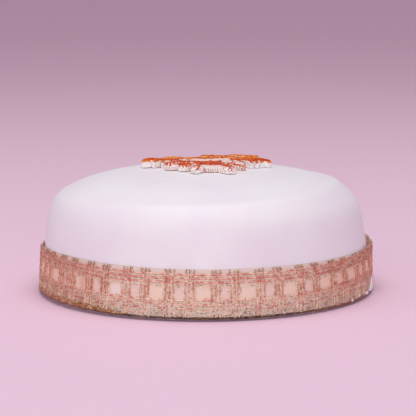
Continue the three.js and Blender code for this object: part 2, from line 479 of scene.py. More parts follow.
def ribbon_cloth_surface(settings, along=640, up=20):
    """The sheer strip, closed round its rim. The grid runs along the strip and round its
    section: up the outer face and down the inner one. Slow waves move it in and out by
    0.12 mm and its edges up and down by 0.3 mm at most. In its uv, u counts windows along
    the evened weave, from far higher on the inner face, and v is the share of the width."""
    degrees = np.linspace(LAP_START, LAP_END, along)[:, None]
    share = np.linspace(0.0, 1.0, up)[None, :]
    theta = np.radians(degrees)
    out = CLOTH_FACE + 0.12 * slow_waves(theta * 4.0, share * 3.0, seed=11)
    edge = 0.3 * slow_waves(theta * 3.0, share, seed=12) * (2.0 * share - 1.0)
    height = share * settings.width / MM + edge
    outer = band_point(settings, degrees, height, out)
    inner = band_point(settings, degrees, height, out - CLOTH_THICKNESS)[:, ::-1]
    points = np.concatenate([outer, inner], 1)
    quads = grid_quads(along, 2 * up)[:, ::-1]
    j = np.arange(up - 1)
    cap = np.stack([j, j + 1, 2 * up - 2 - j, 2 * up - 1 - j], -1)
    last = (along - 1) * 2 * up
    quads = np.concatenate([quads, cap, cap[:, ::-1] + last])
    evened = degrees + drawn_out(degrees) - math.degrees(settings.first_window)
    window = evened / math.degrees(settings.repeat)
    both = np.concatenate([share, share[:, ::-1]], 1)
    inside = np.repeat([0.0, INNER_U], up)[None, :]
    spots = np.stack(np.broadcast_arrays(window + inside, both), -1).reshape(-1, 2)
    return points.reshape(-1, 3), quads, spots[quads].reshape(-1, 2)


def tubes(paths, radius, sides=6):
    """Round threads carried along many paths at once. paths is threads x steps x 3, and
    radius fits threads x steps. Each ring is radius * (cos f * up + sin f * across), where
    up points away from the cake's axis and across is the direction of the path crossed
    with up. Each end is a small cone. Gives points, quads, tris and the uv of each
    corner_dust_and_shade: millimetres along the thread, and the share of the way round it."""
    count, steps, _ = paths.shape
    ahead = np.gradient(paths, axis=1)
    ahead /= np.linalg.norm(ahead, axis=2, keepdims=True)
    away = paths * np.array([1.0, 1.0, 0.0])
    away /= np.linalg.norm(away, axis=2, keepdims=True)
    across = np.cross(ahead, away)
    across /= np.linalg.norm(across, axis=2, keepdims=True)
    away = np.cross(across, ahead)
    turn = np.arange(sides) / sides * TURN
    ring = np.cos(turn)[:, None] * away[:, :, None] + np.sin(turn)[:, None] * across[:, :, None]
    size = np.broadcast_to(radius, (count, steps))
    rings = paths[:, :, None] + size[:, :, None, None] * ring
    tips = np.stack([paths[:, 0] - 0.4 * size[:, :1] * ahead[:, 0],
                     paths[:, -1] + 0.4 * size[:, -1:] * ahead[:, -1]], 1)
    points = np.concatenate([rings.reshape(count, steps * sides, 3), tips], 1)
    one = grid_quads(steps, sides)
    first = (np.arange(count) * (steps * sides + 2))[:, None, None]
    quads = (one[None] + first).reshape(-1, 4)
    tris = (end_fans(steps, sides)[None] + first).reshape(-1, 3)

    step = np.linalg.norm(np.diff(paths, axis=1), axis=2)
    run = np.concatenate([np.zeros((count, 1)), np.cumsum(step, 1)], 1)
    where = run[:, one // sides]
    side = np.broadcast_to(one % sides, where.shape).astype(float)
    side[..., 1:3] = side[..., :1] + 1.0
    uv = np.stack([where, side / sides], -1).reshape(-1, 2)
    fan_uv = np.zeros((count, 2 * sides, 3, 2))
    fan_uv[:, sides:, :, 0] = run[:, -1][:, None, None]
    uv = np.concatenate([uv, fan_uv.reshape(-1, 2)])
    return points.reshape(-1, 3), quads, tris, uv


def group_degrees(settings):
    """The angles of the middles of the groups of cross threads: two for each window, one
    to each side of its middle, with the weave drawn out a little towards the left."""
    window = np.arange(-13, 16) * math.degrees(settings.repeat)
    middle = math.degrees(settings.first_window) + window
    offset = math.degrees(settings.group_offset)
    groups = np.sort(np.concatenate([middle - offset, middle + offset]))
    groups = groups - drawn_out(groups)
    return groups[(groups > LAP_START + 2.5) & (groups < LAP_END - 2.5)]


def cross_threads(settings, draw):
    """Three threads for each group, from the lower edge up to tips of uneven height at the
    upper one. A thread stands at group + one of three spacings + a lean that grows with
    the height + a slow sine, and weaves in and out by another as it passes the
    lengthwise threads. Gives the paths and the share of its thickness at each step, which
    is less in the tip."""
    groups = group_degrees(settings)
    space = settings.thread_spacing / MM
    beside = np.tile([-space, 0.0, space], len(groups))[:, None]
    count = len(beside)

    def uneven(shared, own):
        """A draw for each thread: one that its group shares, plus its own."""
        group = np.repeat(draw.normal(0.0, shared, len(groups)), 3)[:, None]
        return group + draw.normal(0.0, own, (count, 1))

    lean = uneven(0.012, 0.006)
    jitter = uneven(0.25, 0.13)
    foot = 0.4
    tip = settings.width / MM + draw.uniform(-1.3, 0.2, (count, 1))
    height = foot + (tip - foot) * np.linspace(0.0, 1.0, 48)[None, :]
    phase = draw.uniform(0.0, TURN, (count, 1))
    wander = 0.16 * np.sin(height / 3.1 + phase)
    along = beside + jitter + lean * (height - 14.0) + wander
    degrees = np.repeat(groups, 3)[:, None] + degrees_of(settings, along)
    out = 0.02 + 0.16 * np.sin(height / 2.2 * math.pi + phase)
    size = 1.1 - 0.35 * smooth_step(height, 24.4, 25.6)
    return band_point(settings, degrees, height, out), size


def length_threads(settings, heights, draw, out=0.0, wander=0.12, steps=760):
    """One thread for each height, along the whole strip, wandering up and down by slow
    and quick waves and dipping in and out every thread space."""
    degrees = np.linspace(LAP_START + 0.3, LAP_END - 0.3, steps)[None, :]
    heights = np.asarray(heights)[:, None]
    theta = np.radians(degrees)
    phase = draw.uniform(0.0, TURN, (len(heights), 1))
    quick = np.sin(theta * 61.0 + phase) + 0.7 * np.sin(theta * 97.0 + 2.0 * phase)
    slow = np.sin(theta * 7.0 + 1.7 * phase)
    height = heights + wander * (0.6 * quick + 0.8 * slow)
    dip = out + 0.14 * np.sin(theta * 143.0 + 3.0 * phase)
    return band_point(settings, degrees, height, dip)


def worn_rows(settings, draw):
    """Rows of gold and brown beading laid bare along the lower edge on the left, each a
    thread that starts and stops at its own angles and wanders up and down by a sine."""
    height, stop = WORN_ROWS.T[..., None]
    start = draw.uniform(184.0, 192.0, stop.shape)
    stop = stop + draw.normal(0.0, 2.0, stop.shape)
    degrees = start + (stop - start) * np.linspace(0.0, 1.0, 150)[None, :]
    phase = draw.uniform(0.0, TURN, stop.shape)
    theta = np.radians(degrees)
    height = height + 0.2 * np.sin(theta * 23.0 + phase)
    out = 0.25 + 0.1 * np.sin(theta * 90.0 + 2.0 * phase)
    return band_point(settings, degrees, height, out)


def infill_threads(settings, draw):
    """Thin gold threads between and beside the cross threads of each group, from the
    lower edge up to the lengthwise lines, where they stop at uneven heights. They sway
    along the strip and in and out by sines of the height."""
    groups = group_degrees(settings)
    along = INFILL_PLACES[None, :] + draw.normal(0.0, 0.12, (len(groups), len(INFILL_PLACES)))
    degrees = (groups[:, None] + degrees_of(settings, along)).reshape(-1, 1)
    foot = 0.3
    top = settings.width / MM - draw.uniform(3.3, 7.5, degrees.shape)
    height = foot + (top - foot) * np.linspace(0.0, 1.0, 26)[None, :]
    sway = 0.16 * np.sin(height * 1.3 + draw.uniform(0.0, TURN, degrees.shape))
    out = -0.12 + 0.12 * np.sin(height * 2.6 + draw.uniform(0.0, TURN, degrees.shape))
    return band_point(settings, degrees + degrees_of(settings, sway), height, out)


def fringe_loops(settings, draw, count=300):
    """Small stray loops along the lower edge: half circles that hang below it. A little
    over half of them lie close together on the left, where the edge has been rubbed."""
    share = draw.uniform(0.0, 1.0, count)
    on_left = 0.55
    rubbed = 190.0 + 70.0 * share / on_left
    anywhere = LAP_START + 370.0 * draw.random(count)
    degrees = np.where(share < on_left, rubbed, anywhere)
    width = draw.uniform(0.7, 1.5, count)[:, None]
    drop = draw.uniform(0.5, 1.0, count)[:, None]
    turn = np.linspace(0.0, math.pi, 9)[None, :]
    along = -np.cos(turn) * width
    height = 0.5 - np.sin(turn) * drop
    out = 0.1 + draw.uniform(0.0, 0.35, (count, 1)) * np.sin(turn)
    return band_point(settings, degrees[:, None] + degrees_of(settings, along), height, out)


def flake_places(settings, draw, count):
    """Where the flakes lie: half of them in the lower margin, by a bell above the edge, a
    quarter along the lengthwise threads, a quarter along the cross threads, and some of
    the first along the left, where the edge has frayed. Gives degrees, heights and which
    are on the frayed edge."""
    top = settings.width / MM
    share = draw.random(count)
    degrees = draw.uniform(LAP_START + 0.4, LAP_END - 0.4, count)
    margin = np.abs(draw.normal(0.0, 3.2, count)) + 0.2
    rows = ROSE_ROWS + [18.1] + FAINT_ROWS
    lines = draw.choice(rows, count) + draw.normal(0.0, 0.6, count)
    height = np.where(share < 0.52, margin, lines)
    groups = group_degrees(settings)
    near = groups[draw.integers(0, len(groups), count)]
    space = settings.thread_spacing / MM
    aside = draw.choice([-space, 0.0, space], count) + draw.normal(0.0, 0.7, count)
    on_group = share > 0.74
    degrees = np.where(on_group, near + degrees_of(settings, aside), degrees)
    height = np.where(on_group, draw.uniform(0.4, top - 0.6, count), height)
    frayed = share < 0.09
    degrees = np.where(frayed, draw.uniform(180.0, 243.0, count), degrees)
    height = np.where(frayed, np.abs(draw.normal(0.0, 1.1, count)), height)
    return degrees, np.clip(height, 0.2, top - 0.4), frayed


def flake_tones(draw, degrees, height, frayed):
    """A colour for each flake, drawn by shares: white and gold in the margin, browner
    where it is worn on the left, warmer above it, and mostly brown on the frayed edge.
    Each is a little lighter or darker than its kind."""
    count = len(degrees)
    palette = np.array([
        tone(240, 208, 170), tone(255, 253, 248), tone(220, 130, 116), tone(110, 76, 54),
        tone(158, 112, 66),
    ])
    low = draw.choice(4, count, p=[0.22, 0.6, 0.04, 0.14])
    worn = draw.choice(5, count, p=[0.38, 0.2, 0.04, 0.12, 0.26])
    low = np.where(draw.random(count) < smooth_fall(degrees, 228.0, 250.0), worn, low)
    pick = np.where(height < 8.0, low, draw.choice(4, count, p=[0.34, 0.44, 0.16, 0.06]))
    pick = np.where(frayed, draw.choice([3, 4, 4, 0], count), pick)
    tint = palette[pick] * draw.uniform(0.8, 1.1, (count, 1))
    tint[:, 3] = 1.0
    return np.clip(tint, 0.0, 1.0)


def flakes(settings, draw, count):
    """Glitter: eight-sided flakes, each an octahedron flattened and turned at random, but
    roughly flat: its thin way points out, give or take half a right angle. Gives points,
    tris and a colour for each flake's points."""
    degrees, height, frayed = flake_places(settings, draw, count)
    middle = band_point(settings, degrees, height, draw.uniform(-0.1, 0.42, count))
    corners = np.array(
        [[1, 0, 0], [0, 1, 0], [-1, 0, 0], [0, -1, 0], [0, 0, 1], [0, 0, -1]], float
    )
    size = draw.uniform(0.28, 0.54, (count, 1, 1)) * np.array([1.0, 0.8, 0.35])
    theta = np.radians(degrees)
    outward = np.stack([np.cos(theta), np.sin(theta), 0.0 * theta], -1)
    spin = draw.normal(size=(count, 3, 3))
    spin[:, :, 0] = spin[:, :, 0] * 0.5 + outward
    turned, _ = np.linalg.qr(spin)
    turned = turned[:, :, [1, 2, 0]]
    turned[:, :, 0] *= np.sign(np.linalg.det(turned))[:, None]
    points = middle[:, None] + np.einsum("nij,nkj->nki", turned, corners[None] * size)
    faces = np.array([
        [0, 1, 4], [1, 2, 4], [2, 3, 4], [3, 0, 4], [1, 0, 5], [2, 1, 5], [3, 2, 5], [0, 3, 5],
    ])
    tris = (faces[None] + 6 * np.arange(count)[:, None, None]).reshape(-1, 3)
    tint = np.repeat(flake_tones(draw, degrees, height, frayed), 6, 0)
    return points.reshape(-1, 3), tris, tint


# ---------------------------------------------------------------------- stray icing

# Where icing was wiped on the ribbon's foot at the right: the angle, the height above the
# board, the half length along the ribbon, the half height and the thickness.
SMEARS = np.array([
    (-12.0, 6.4, 2.0, 3.0, 1.1), (-14.5, 3.8, 2.6, 2.0, 1.3), (-19.5, 2.8, 2.8, 1.3, 1.0),
    (-27.0, 3.6, 1.0, 0.9, 0.7), (-9.0, 3.4, 1.6, 1.8, 0.9), (-32.5, 2.4, 1.5, 0.8, 0.6),
])


def smear_surfaces(settings, rows=14, columns=26):
    """Stray smears as flattened lumps, each a ball with latitude a and longitude b: its
    half sizes along, up and out are scaled by 1 + 0.25 * the sum of two slow sines, and it
    follows the ribbon's curve."""
    a = np.linspace(-math.pi / 2, math.pi / 2, rows)[1:-1, None]
    b = (np.arange(columns) / columns * TURN)[None, :]
    set_out = 0.1
    smears = []
    for number, (degrees, height, long, tall, thick) in enumerate(SMEARS):
        wave = 0.6 * np.sin(3.0 * b - 2.0 * number + 2.0 * a)
        lump = 1.0 + 0.25 * (np.sin(2.0 * b + number) * np.cos(a) + wave)
        along = long * lump * np.cos(a) * np.cos(b)
        up = tall * lump * np.cos(a) * np.sin(b)
        out = thick * np.sin(a) * (0.7 + 0.3 * lump) + set_out
        ends = np.array([[0.0, 0.0, set_out - thick], [0.0, 0.0, set_out + thick]])
        flat = np.concatenate([np.stack([along, up, out], -1).reshape(-1, 3), ends])
        low = np.maximum(height + flat[:, 1], 0.3) - settings.rise / MM
        where = degrees + degrees_of(settings, flat[:, 0])
        points = band_point(settings, where, low, flat[:, 2])
        smears.append((points, grid_quads(rows - 2, columns), end_fans(rows - 2, columns)))
    return together(smears)


# ------------------------------------------------------------------------ materials


class Sheet:
    """A material's node tree with short ways to add and join nodes."""

    def __init__(self, name):
        self.material = bpy.data.materials.new(name)
        self.material.use_nodes = True
        self.tree = self.material.node_tree
        self.shader = self.tree.nodes["Principled BSDF"]
        self.place = self.add("ShaderNodeTexCoord").outputs["Object"]

    def add(self, kind, **values):
        node = self.tree.nodes.new(kind)
        for key, value in values.items():
            setattr(node, key, value)
        return node

    def join(self, source, target):
        self.tree.links.new(source, target)

    def put(self, socket, value):
        """Joins a node's output to a socket, or sets a plain value on it."""
        if isinstance(value, bpy.types.NodeSocket):
            self.join(value, socket)
        else:
            socket.default_value = value

    def shade(self, **values):
        """Sets the shader's sockets by name, with underscores for spaces."""
        for key, value in values.items():
            self.put(self.shader.inputs[key.replace("_", " ")], value)

    def split(self, vector):
        """The three parts of a vector."""
        node = self.add("ShaderNodeSeparateXYZ")
        self.join(vector, node.inputs[0])
        return tuple(node.outputs)

    def own_uv(self):
        """The two parts of the piece's own uv."""
        return self.split(self.add("ShaderNodeUVMap", uv_map="UVMap").outputs["UV"])[:2]

    def tint(self):
        """The piece's own colour attribute, and its red, green and blue."""
        own = self.add("ShaderNodeAttribute", attribute_name="tint").outputs["Color"]
        node = self.add("ShaderNodeSeparateColor")
        self.join(own, node.inputs[0])
        return own, tuple(node.outputs)

    def noise(self, scale, detail=2.0, roughness=0.5):
        node = self.add("ShaderNodeTexNoise")
        self.join(self.place, node.inputs["Vector"])
        node.inputs["Scale"].default_value = scale
        node.inputs["Detail"].default_value = detail
        node.inputs["Roughness"].default_value = roughness
        return node.outputs["Fac"]

    def math(self, operation, first, second=0.0):
        node = self.add("ShaderNodeMath", operation=operation)
        self.put(node.inputs[0], first)
        self.put(node.inputs[1], second)
        return node.outputs[0]

    def plus(self, first, second):
        return self.math("ADD", first, second)

    def minus(self, first, second):
        return self.math("SUBTRACT", first, second)

    def times(self, first, second):
        return self.math("MULTIPLY", first, second)

    def push(self, noise, size):
        """A noise as a push to either side: half of the size at most, and none on average."""
        return self.times(self.minus(noise, 0.5), size)

    def step(self, value, low, high, to_low=0.0, to_high=1.0):
        """A smooth step of a value between two limits."""
        node = self.add("ShaderNodeMapRange", interpolation_type="SMOOTHSTEP")
        for name, item in (("Value", value), ("From Min", low), ("From Max", high),
                           ("To Min", to_low), ("To Max", to_high)):
            self.put(node.inputs[name], item)
        return node.outputs["Result"]

    def mix(self, share, first, second):
        """A share of the way from the first colour to the second."""
        node = self.add("ShaderNodeMix", data_type="RGBA")
        self.put(node.inputs["Factor"], share)
        self.put(node.inputs[6], first)
        self.put(node.inputs[7], second)
        return node.outputs[2]

    def ramp(self, value, stops):
        """A colour for each value, between (position, colour) stops."""
        node = self.add("ShaderNodeValToRGB")
        bar = node.color_ramp
        bar.elements[0].position, bar.elements[0].color = stops[0]
        bar.elements[1].position, bar.elements[1].color = stops[-1]
        for position, shade in stops[1:-1]:
            bar.elements.new(position).color = shade
        self.join(value, node.inputs["Fac"])
        return node.outputs["Color"]

    def painted_flank_shade(self, share):
        """A share of a smooth step from the front and back of the cake to its sides, less
        round the back. It is the mask for painted shade: the duller, tanner look that the
        ribbon has where it is seen edge-on."""
        x, y, _ = self.split(self.place)
        side = self.step(self.math("ABSOLUTE", x), 0.035, 0.092, 0.0, share)
        return self.times(side, self.step(y, -0.005, 0.02, 1.0, 0.3))

    def near(self, spot, inner, outer):
        """1 within the inner distance of a spot, in metres, and 0 beyond the outer one."""
        node = self.add("ShaderNodeVectorMath", operation="DISTANCE")
        self.join(self.place, node.inputs[0])
        node.inputs[1].default_value = spot
        return self.step(node.outputs["Value"], outer, inner)

    def bump(self, height, distance, strength=1.0, under=None):
        """A bump of a height in metres, on top of another bump."""
        node = self.add("ShaderNodeBump")
        node.inputs["Strength"].default_value = strength
        node.inputs["Distance"].default_value = distance
        self.join(height, node.inputs["Height"])
        if under is not None:
            self.join(under, node.inputs["Normal"])
        self.join(node.outputs["Normal"], self.shader.inputs["Normal"])
        return node.outputs["Normal"]


def icing_material(settings):
    """Smooth sugarpaste: near-white, a little thinner in slow patches, satin, with the
    faint orange-peel of a hand-smoothed surface."""
    sheet = Sheet("white sugarpaste")
    thin = sheet.step(sheet.noise(22.0, 3.0), 0.35, 0.7)
    sheet.shade(Base_Color=sheet.mix(thin, tuple(settings.icing), tuple(settings.icing_shade)))
    sheet.shade(Roughness=sheet.step(sheet.noise(90.0, 3.0), 0.3, 0.7, 0.4, 0.52))
    sheet.shade(Specular_IOR_Level=0.42, Subsurface_Weight=0.12, Subsurface_Scale=0.004)
    sheet.shade(Subsurface_Radius=(1.0, 0.72, 0.66))
    low = sheet.bump(sheet.noise(70.0, 2.0), 0.0007, 0.5)
    sheet.bump(sheet.noise(900.0, 3.0), 0.00012, 0.5, under=low)
    return sheet.material


# Where a window of the ribbon is spoiled, by how much, and to what colour.
WINDOW_SPOTS = [
    ((-0.0502, -0.0885, 0.0148), 0.62, tone(248, 236, 238)),
    ((-0.0705, -0.0740, 0.0165), 0.45, tone(206, 128, 102)),
    ((-0.0802, -0.0634, 0.0180), 0.9, tone(200, 120, 96)),
]
# Painted shade along the flanks: the duller tan that gold, cloth and threads have where the ribbon
# is seen edge-on.
FLANK_SHADE_TAN = tone(208, 134, 104)  # gold and cloth as they look along the flanks
THREAD_FLANK_SHADE = tone(208, 116, 90)  # and a thread, where it isn't given its own


def cloth_material(settings):
    """The sheer cloth, patterned along its own uv: u counts windows and v is the share of
    the width. It is peach in the windows, gold under the groups of threads, under the
    lines and in the lower margin, and pale and sheerer at the upper border, with a fine
    plain weave. Distances and heights are in millimetres, and ragged by a fine noise. It
    tans towards the flanks, a painted shade for the duller look of the cloth seen
    edge-on, and three windows on the left are spoiled: two are overgrown with gold, and
    one has icing rubbed in. The inner face, whose u is far higher, is painted a warmer
    peach: painted light for what comes through the sheer cloth. Round the back, light
    spreads in the cloth."""
    sheet = Sheet("plaid organza")
    u, v = sheet.own_uv()
    high = sheet.times(v, settings.width / MM)
    repeat = settings.repeat * settings.radius / MM
    offset = settings.group_offset * settings.radius / MM
    within = sheet.minus(sheet.math("FRACT", sheet.plus(u, 20.5)), 0.5)
    from_middle = sheet.math("ABSOLUTE", within)
    from_group = sheet.math("ABSOLUTE", sheet.minus(sheet.times(from_middle, repeat), offset))
    rag = sheet.push(sheet.noise(900.0, 2.0), 2.2)
    ragged = sheet.plus(high, rag)
    group = sheet.step(sheet.plus(from_group, rag), 3.9, 2.9)
    lines = sheet.times(sheet.step(ragged, 16.6, 17.8), sheet.step(ragged, 25.2, 24.2))
    margin = sheet.step(ragged, 8.6, 5.0)
    lower = sheet.step(ragged, 11.6, 10.2)
    border = sheet.step(high, 24.4, 25.4)

    grain = sheet.noise(700.0, 3.0)
    wide = sheet.step(from_middle, 0.2, 0.3)
    blush = sheet.plus(sheet.times(wide, 0.7), sheet.times(sheet.noise(30.0, 2.0), 0.3))
    window = sheet.mix(blush, tuple(settings.window), tone(240, 212, 198))
    gold = sheet.ramp(grain, [(0.32, tone(186, 134, 110)), (0.5, tuple(settings.infill)),
                              (0.68, tone(252, 236, 220))])
    dense = sheet.ramp(grain, [(0.34, tone(216, 178, 150)), (0.46, tuple(settings.margin)),
                               (0.66, tone(255, 246, 234))])
    # Painted shade: towards the flanks the windows, gold, margin and border turn a duller tan.
    window = sheet.mix(sheet.painted_flank_shade(0.35), window, tone(232, 158, 140))
    gold = sheet.mix(sheet.painted_flank_shade(0.65), gold, FLANK_SHADE_TAN)
    dense = sheet.mix(sheet.painted_flank_shade(0.5), dense, FLANK_SHADE_TAN)
    edge = sheet.mix(sheet.painted_flank_shade(0.2), tuple(settings.border), FLANK_SHADE_TAN)
    for spot, share, shade in WINDOW_SPOTS:
        grown = sheet.step(grain, 0.3, 0.55, 0.3 * share, share)
        window = sheet.mix(sheet.times(sheet.near(spot, 0.0024, 0.0056), grown), window, shade)
    base = sheet.mix(border, window, edge)
    for share, where in ((0.55, lower), (0.75, lines), (0.8, group)):
        base = sheet.mix(sheet.times(where, share), base, gold)
    base = sheet.mix(margin, base, dense)
    # Painted light: the inner face takes a warmer peach, for the light that comes through the
    # sheer cloth.
    inner = sheet.step(u, INNER_U / 2.0, INNER_U / 2.0 + 1.0, 0.0, 0.8)
    base = sheet.mix(inner, base, tone(255, 192, 158))
    sheet.shade(Base_Color=base, Roughness=sheet.step(grain, 0.3, 0.7, 0.34, 0.55))
    sheet.shade(Metallic=sheet.times(sheet.math("MAXIMUM", group, margin), 0.2))
    sheet.shade(Alpha=sheet.step(border, 0.0, 1.0, 1.0, 0.72))
    sheet.shade(Subsurface_Weight=sheet.step(sheet.split(sheet.place)[1], -0.015, 0.005, 0.0, 0.6))
    sheet.shade(Subsurface_Scale=0.0012, Subsurface_Radius=(1.0, 0.95, 0.92))
    sheet.shade(Sheen_Weight=0.25, Sheen_Roughness=0.4, Specular_IOR_Level=0.5)
    thread = 0.42  # from one thread of the plain weave to the next but one
    warp = sheet.math("SINE", sheet.times(u, repeat * TURN / thread))
    weft = sheet.math("SINE", sheet.times(high, TURN / thread))
    sheet.bump(sheet.plus(sheet.times(warp, weft), grain), 0.00002, 0.8)
    return sheet.material


def thread_material(name, dark, middle, light, rest=None, sink=0.5, ends=None, side=THREAD_FLANK_SHADE):
    """A metal-wrapped thread: its colour and shine change in beads of about a millimetre
    along it, and the wrapping shows as a fine twist across it. Here and there it sinks
    out of sight and takes the resting colour, the more the lower the sinking value is.
    Side is its colour along the flanks, a painted shade for the duller look the thread
    has where it is seen edge-on. Ends are its colours by height: in the margin and in
    the tips."""
    sheet = Sheet(name)
    beads = sheet.times(sheet.noise(850.0, 2.0, 0.6), 0.62)
    beads = sheet.plus(beads, sheet.times(sheet.noise(240.0, 1.0), 0.38))
    base = sheet.ramp(beads, [(0.4, dark), (0.46, middle), (0.52, middle), (0.59, light)])
    if rest is not None:
        sunk = sheet.step(sheet.noise(330.0, 2.0), sink, sink + 0.1, 0.0, 0.85)
        base = sheet.mix(sunk, base, rest)
    # Painted shade: towards the flanks the thread takes its duller side colour.
    base = sheet.mix(sheet.painted_flank_shade(0.42), base, side)
    if ends is not None:
        ragged = sheet.push(sheet.noise(400.0, 1.0), 0.004)
        high = sheet.plus(sheet.split(sheet.place)[2], ragged)
        base = sheet.mix(sheet.step(high, 0.0125, 0.009, 0.0, 0.6), base, ends[0])
        base = sheet.mix(sheet.step(high, 0.0262, 0.0274, 0.0, 0.36), base, ends[1])
    sheet.shade(Base_Color=base)
    sheet.shade(Metallic=0.2, Roughness=sheet.step(beads, 0.3, 0.7, 0.52, 0.32))
    along, round_it = sheet.own_uv()
    twist = sheet.plus(sheet.times(along, 2.2), round_it)
    wrap = sheet.math("SINE", sheet.times(twist, TURN))
    sheet.bump(sheet.plus(wrap, beads), 0.00002, 0.9)
    return sheet.material


def flake_material():
    """Glitter: each flake's own colour, dimmed in specks, with a mirror's shine. The light
    ones are mostly metal and the dark ones hardly."""
    sheet = Sheet("glitter flakes")
    tint, (_, _, blue) = sheet.tint()
    speck = sheet.noise(2600.0, 1.0)
    dim = sheet.mix(0.25, tint, tone(190, 148, 120))
    base = sheet.mix(sheet.step(speck, 0.35, 0.65), dim, tint)
    # Painted shade: towards the flanks the flakes turn a duller tan.
    sheet.shade(Base_Color=sheet.mix(sheet.painted_flank_shade(0.35), base, tone(200, 130, 100)))
    sheet.shade(Metallic=sheet.step(blue, 0.86, 0.9, 0.15, 0.9))
    sheet.shade(Roughness=sheet.step(speck, 0.3, 0.7, 0.2, 0.36))
    return sheet.material


def snowflake_material(settings):
    """Icing dusted with lustre: bare sugar on the walls, stained in the corners with dust and
    painted shade, copper on the top in thick and thin patches, and gold along the rims as
    a painted highlight. The shares come from the mesh: tint's red is dust, its green the
    rim's painted highlight and its blue the corners' dust and painted shade."""
    sheet = Sheet("dusted icing")
    _, (dust, rim, corner_dust_and_shade) = sheet.tint()
    patch = sheet.noise(260.0, 3.0, 0.6)
    fine = sheet.noise(1500.0, 3.0, 0.6)
    blotch = sheet.step(sheet.noise(170.0, 2.0), 0.32, 0.48)
    # Dust and painted shade: the corners and the dips between ribs are stained darker, blotched by
    # a noise.
    stained_and_shaded = sheet.times(corner_dust_and_shade, sheet.times(blotch, 0.9))
    sugar = sheet.mix(stained_and_shaded, tuple(settings.sugar), tuple(settings.corner_stain_and_shade))
    dark, gold = tuple(settings.dark), tuple(settings.gold)
    copper = sheet.mix(sheet.step(patch, 0.42, 0.66), dark, tuple(settings.copper))
    copper = sheet.mix(sheet.step(dust, 0.82, 0.95, 0.0, 0.7), copper, dark)
    # Painted highlight: gold along the rims, where the rim share is high.
    copper = sheet.mix(sheet.times(rim, sheet.step(patch, 0.28, 0.46)), copper, gold)
    cover = sheet.step(sheet.plus(dust, sheet.push(fine, 0.5)), 0.28, 0.7)
    sheet.shade(Base_Color=sheet.mix(cover, sugar, copper))
    sheet.shade(Metallic=sheet.times(cover, 0.3))
    sheet.shade(Roughness=sheet.step(fine, 0.3, 0.7, 0.6, 0.8), Specular_IOR_Level=0.2)
    low = sheet.bump(patch, 0.0003, 0.4)
    sheet.bump(fine, 0.00012, 0.6, under=low)
    return sheet.material


# ------------------------------------------------------------------------ snowflake

# Direction of each arm, in degrees, and its reach from the middle, in millimetres.
ARMS = np.array([
    (5, 39.5), (28, 36.5), (58, 39.5), (86, 31.5), (115, 22.0), (141, 34.0),
    (170, 40.5), (206, 28.5), (234, 28.0), (261, 30.0), (294, 34.0), (323, 29.5),
])
SNOWFLAKE_X = 1.2
SNOWFLAKE_Y = 4.0
DROOP = 1.0  # how far it has sagged at this distance from its middle
DROOP_REACH = 40.0
PLAQUE_FOOT = 74.3  # the underside of its middle
PLAQUE_THICK = 4.2
# Rounded lobes where the paste has run together between the branches: the middle of each,
# its half length and half width, and its direction, in millimetres and degrees.
LOBES = np.array([
    (3.8, 22.8, 11.6, 7.4, 86), (14.6, 25.4, 13.5, 6.4, 58), (22.6, 15.5, 12.5, 6.4, 28),
    (-15.9, 17.4, 11.0, 5.8, 141), (-34.6, 7.6, 4.2, 4.2, 0), (-28.9, 6.6, 3.0, 4.4, 0),
    (-20.0, 7.6, 9.0, 4.2, 170),
    (30.2, 5.5, 2.7, 4.8, 5), (34.7, 6.3, 2.3, 4.4, 5), (38.6, 7.3, 2.5, 4.0, 5),
    (26.0, 22.0, 7.5, 5.5, 43),
    (4.0, -16.5, 7.0, 7.0, 0), (-4.3, -22.5, 6.4, 3.4, 261), (14.2, -23.5, 6.4, 4.2, 294),
    (-17.6, -9.3, 6.4, 4.2, 206), (-11.5, -15.5, 4.6, 3.8, 234),
])
LOBE_FOOT = 74.5
LOBE_THICK = 3.75
BARB_ANGLE = math.radians(58.0)  # how far a barb leans away from its arm
BARB_SPACING = 2.2
FIRST_GAP = 12.5


def sag_at(far):
    """How far the plaque has sagged at a distance from its middle: as the square of it."""
    return DROOP * (far / DROOP_REACH) ** 2


def lobe_solids(rings=5, columns=48):
    """The lobes as closed solids, in millimetres: each has an oval outline, and a side
    that bulges by a tenth of a millimetre, from the snowflake's underside to its top."""
    turn = np.arange(columns) / columns * TURN
    rise = np.linspace(0.0, 1.0, rings)[:, None]
    bulge = 0.1 * np.sin(rise * math.pi)
    lobes = []
    for x, y, wide, deep, way in LOBES:
        one = (wide + bulge) * np.cos(turn)
        two = (deep + bulge) * np.sin(turn)
        c, s = math.cos(math.radians(way)), math.sin(math.radians(way))
        px = x + c * one - s * two
        py = y + s * one + c * two
        far = np.hypot(px - SNOWFLAKE_X, py - SNOWFLAKE_Y)
        pz = LOBE_FOOT + LOBE_THICK * rise - sag_at(far)
        rim = np.stack([px, py, pz], -1).reshape(-1, 3)
        ends = np.array([[x, y, rim[:columns, 2].mean()], [x, y, rim[-columns:, 2].mean()]])
        points = np.concatenate([rim, ends])
        lobes.append((points, grid_quads(rings, columns), end_fans(rings, columns)))
    return together(lobes)


def barb_field(x, y):
    """Where each place lies among the barbs of the nearest arm: its distance along the
    arm, its distance to the side, and its turn, which counts barbs. A barb leaves its arm
    at 58 degrees, so its turn is (along - aside * cot 58 - the first gap) / spacing + a
    half, with a whole number in the middle of each gap. Gives the arm's reach as well."""
    direction = np.radians(ARMS[:, 0])[:, None]
    along = x * np.cos(direction) + y * np.sin(direction)
    aside = np.abs(-x * np.sin(direction) + y * np.cos(direction))
    nearest = along.argmax(0)
    along = along[nearest, np.arange(len(x))]
    aside = aside[nearest, np.arange(len(x))]
    turn = (along - aside / math.tan(BARB_ANGLE) - FIRST_GAP) / BARB_SPACING + 0.5
    return along, aside, turn, ARMS[nearest, 1]


